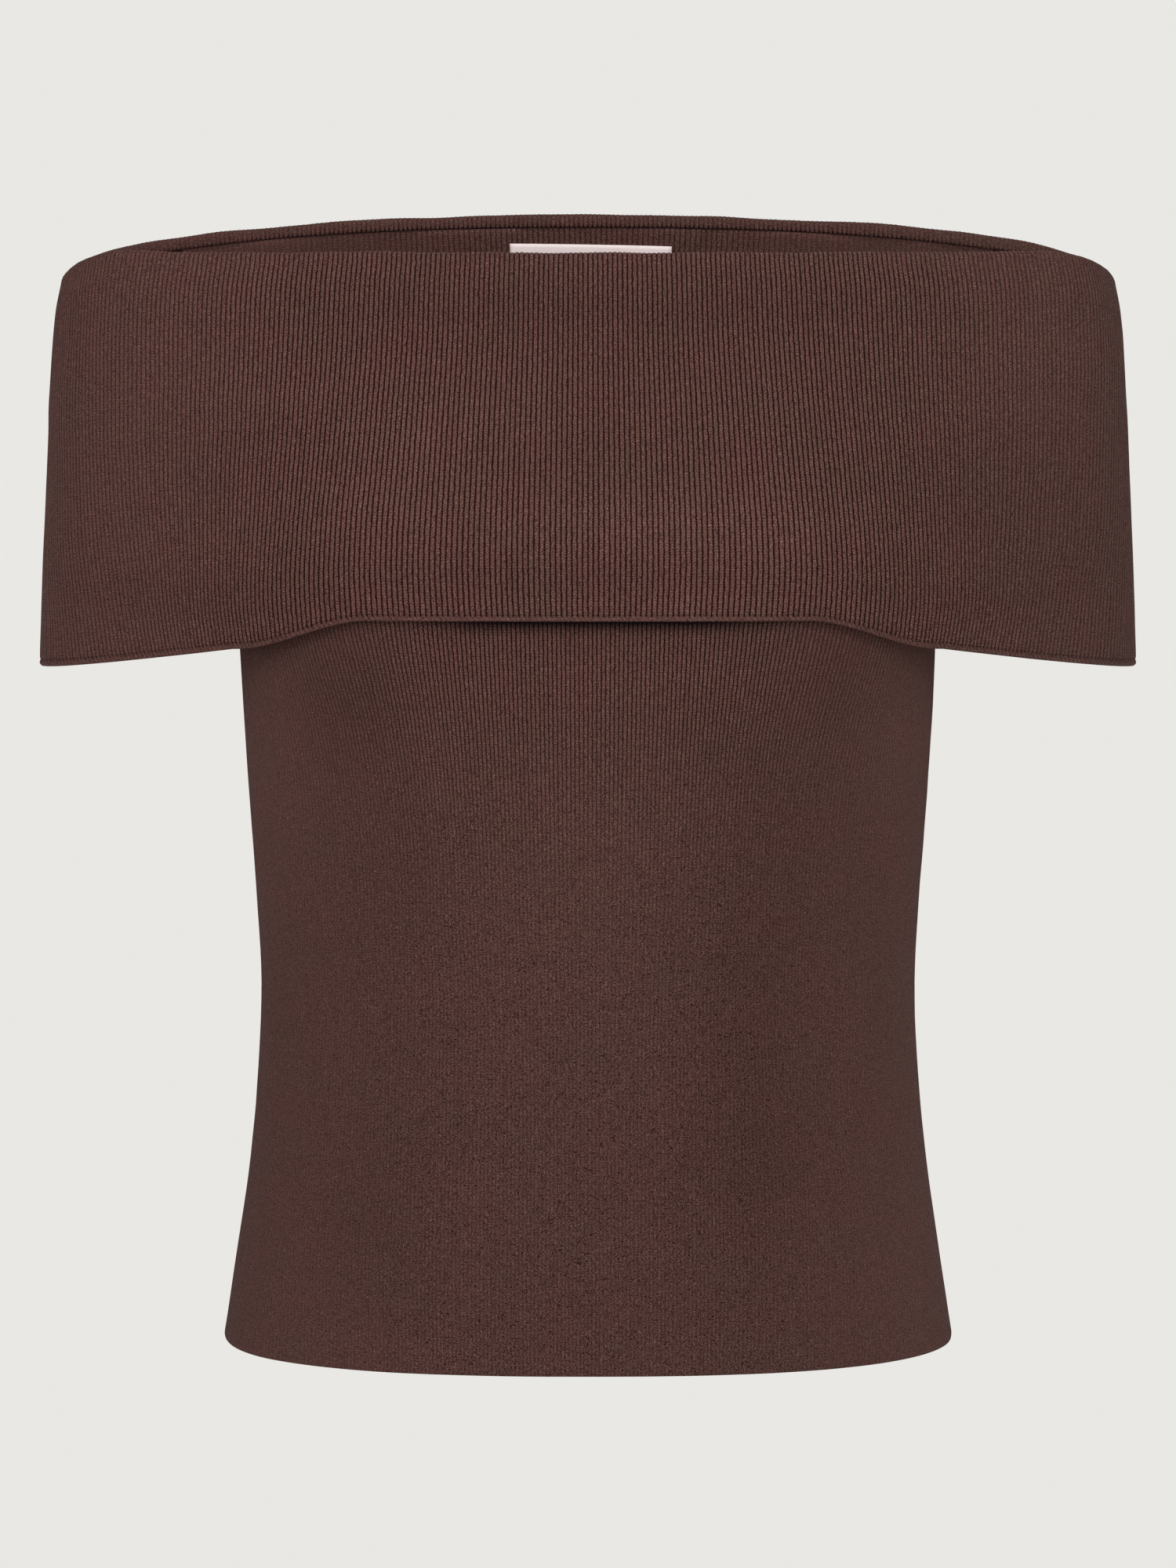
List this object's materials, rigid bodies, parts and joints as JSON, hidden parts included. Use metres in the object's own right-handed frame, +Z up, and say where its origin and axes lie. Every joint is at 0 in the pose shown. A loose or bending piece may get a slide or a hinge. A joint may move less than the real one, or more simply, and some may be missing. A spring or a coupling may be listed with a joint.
{
  "type": "off-the-shoulder knit top",
  "caption": "Hollow, filled-out sleeveless rib-knit top with a deep fold-over off-the-shoulder collar, fitted waist and open hem.",
  "frame": {"origin": "middle of the neck opening, level with the top of the fold at the centre front, where the wearer's upper arms and chest hold the garment up", "axes": "+Z up towards the wearer's head, -Y to the garment's front, +X to the right as seen from the front"},
  "size_m": [0.4538, 0.2234, 0.468],
  "materials": {
    "body_knit": "matte fine rib knit, dark brown, soft",
    "collar_knit": "matte fine rib knit, dark brown, ribs standing out",
    "label_satin": "pale pink woven satin, bare"
  },
  "bodies": {
    "root": {"front_body": "body_knit", "back_body": "body_knit", "front_collar": "collar_knit", "back_collar": "collar_knit", "label": "label_satin"}
  },
  "joints": []
}
